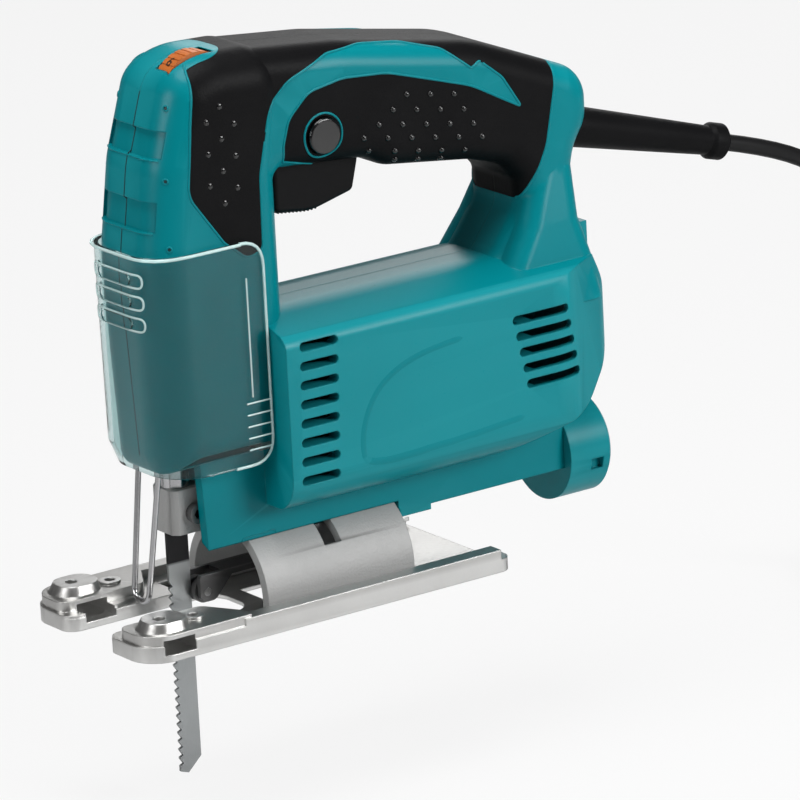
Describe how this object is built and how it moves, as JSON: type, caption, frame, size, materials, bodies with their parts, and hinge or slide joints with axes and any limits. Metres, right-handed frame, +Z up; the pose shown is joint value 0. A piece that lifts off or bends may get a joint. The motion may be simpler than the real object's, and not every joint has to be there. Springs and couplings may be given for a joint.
{
  "type": "jigsaw",
  "caption": "Corded D-handle jigsaw with a tilting forked shoe, clear dust cover, vertically driven saw blade, trigger, speed dial and dust port.",
  "frame": {"origin": "on the plane of the sole, on the tilt plane of symmetry, 3 mm in front of the slider axis", "axes": "+Z up along the blade, -X the cutting direction, +X towards the cord, -Y the left side"},
  "size_m": [0.4324, 0.1013, 0.26],
  "materials": {
    "casing": "moulded, satin gloss",
    "grip": "fine textured",
    "black_plastic": "moulded",
    "cord": "smooth",
    "brass": "turned",
    "carbon": "pressed",
    "steel": "ground",
    "dark_steel": "blackened",
    "dial": "moulded",
    "clear": "clear, moulded",
    "cast_alloy": "cast, blasted",
    "bright_alloy": "cast, polished",
    "core": "stacked sheet",
    "copper": "drawn",
    "blade_steel": "dark rolled"
  },
  "bodies": {
    "body": {"housing_left": "casing", "housing_right": "casing", "dust_port": "casing", "grip_left": "grip", "grip_right": "grip", "strain_relief": "grip", "cord_lead": "cord", "cord_coil": "cord", "cord_end": "cord", "cord_tail": "cord", "coil_tie": "black_plastic", "plug": "black_plastic", "cord_clamp": "black_plastic", "switch_body": "black_plastic", "speed_control": "black_plastic", "brush_holders": "brass", "carbon_brushes": "carbon", "brush_springs": "steel", "gear_housing": "cast_alloy", "base_saddle": "steel", "base_bolt": "steel", "base_nut": "steel", "hex_key": "dark_steel", "wire_guard": "steel", "slider_bushes": "brass", "gear_shaft": "steel", "stator_core": "core", "field_windings": "copper", "front_bearing": "steel", "rear_bearing": "steel", "housing_screws": "dark_steel"},
    "stroke": {"slider": "steel", "blade_clamp": "dark_steel", "clamp_screw": "dark_steel", "blade": "blade_steel"},
    "crank": {"crank_gear": "steel", "crank_pin": "steel"},
    "armature": {"armature_shaft": "steel", "armature_core": "core", "commutator": "copper", "cooling_fan": "black_plastic"},
    "trigger": {"trigger": "black_plastic"},
    "lock_button": {"lock_button": "black_plastic"},
    "speed_dial": {"speed_dial": "dial"},
    "dust_cover": {"dust_cover": "clear"},
    "retainer": {"roller_retainer": "dark_steel", "roller_pin": "steel"},
    "roller": {"blade_roller": "steel"},
    "bevel": {"bevel_segment": "cast_alloy"},
    "shoe": {"shoe": "bright_alloy"}
  },
  "joints": [
    {"name": "blade_stroke", "type": "slide", "parent": "body", "child": "stroke", "axis": [0, 0, 1], "range_m": [-0.009, 0.009]},
    {"name": "armature_spin", "type": "hinge", "parent": "body", "child": "armature", "pos_m": [0.07, 0, 0.072], "axis": [1, 0, 0], "continuous": true},
    {"name": "crank_turn", "type": "hinge", "parent": "body", "child": "crank", "pos_m": [0.02, 0, 0.092], "axis": [1, 0, 0], "continuous": true},
    {"name": "trigger_pull", "type": "slide", "parent": "body", "child": "trigger", "axis": [0, 0, 1], "range_m": [0, 0.005], "stiffness_N_per_m": 500},
    {"name": "lock_press", "type": "slide", "parent": "body", "child": "lock_button", "axis": [0, 1, 0], "range_m": [0, 0.0025], "stiffness_N_per_m": 600},
    {"name": "dial_turn", "type": "hinge", "parent": "body", "child": "speed_dial", "pos_m": [0.0152, 0, 0.1814], "axis": [0, 1, 0], "range_deg": [-120, 120]},
    {"name": "cover_slide", "type": "slide", "parent": "body", "child": "dust_cover", "axis": [-0.0649, 0, 0.9979], "range_m": [0, 0.03]},
    {"name": "retainer_slide", "type": "slide", "parent": "body", "child": "retainer", "axis": [1, 0, 0], "range_m": [0, 0.003]},
    {"name": "roller_spin", "type": "hinge", "parent": "retainer", "child": "roller", "pos_m": [0.0102, 0, 0.0084], "axis": [0, 1, 0], "continuous": true},
    {"name": "shoe_tilt", "type": "hinge", "parent": "body", "child": "bevel", "pos_m": [0, 0, 0.006], "axis": [1, 0, 0], "range_deg": [-45, 45]},
    {"name": "shoe_slide", "type": "slide", "parent": "bevel", "child": "shoe", "axis": [1, 0, 0], "range_m": [0, 0.012]}
  ],
  "couplings": [
    {"joint": "crank_turn", "follows": "armature_spin", "ratio": -0.19048}
  ]
}
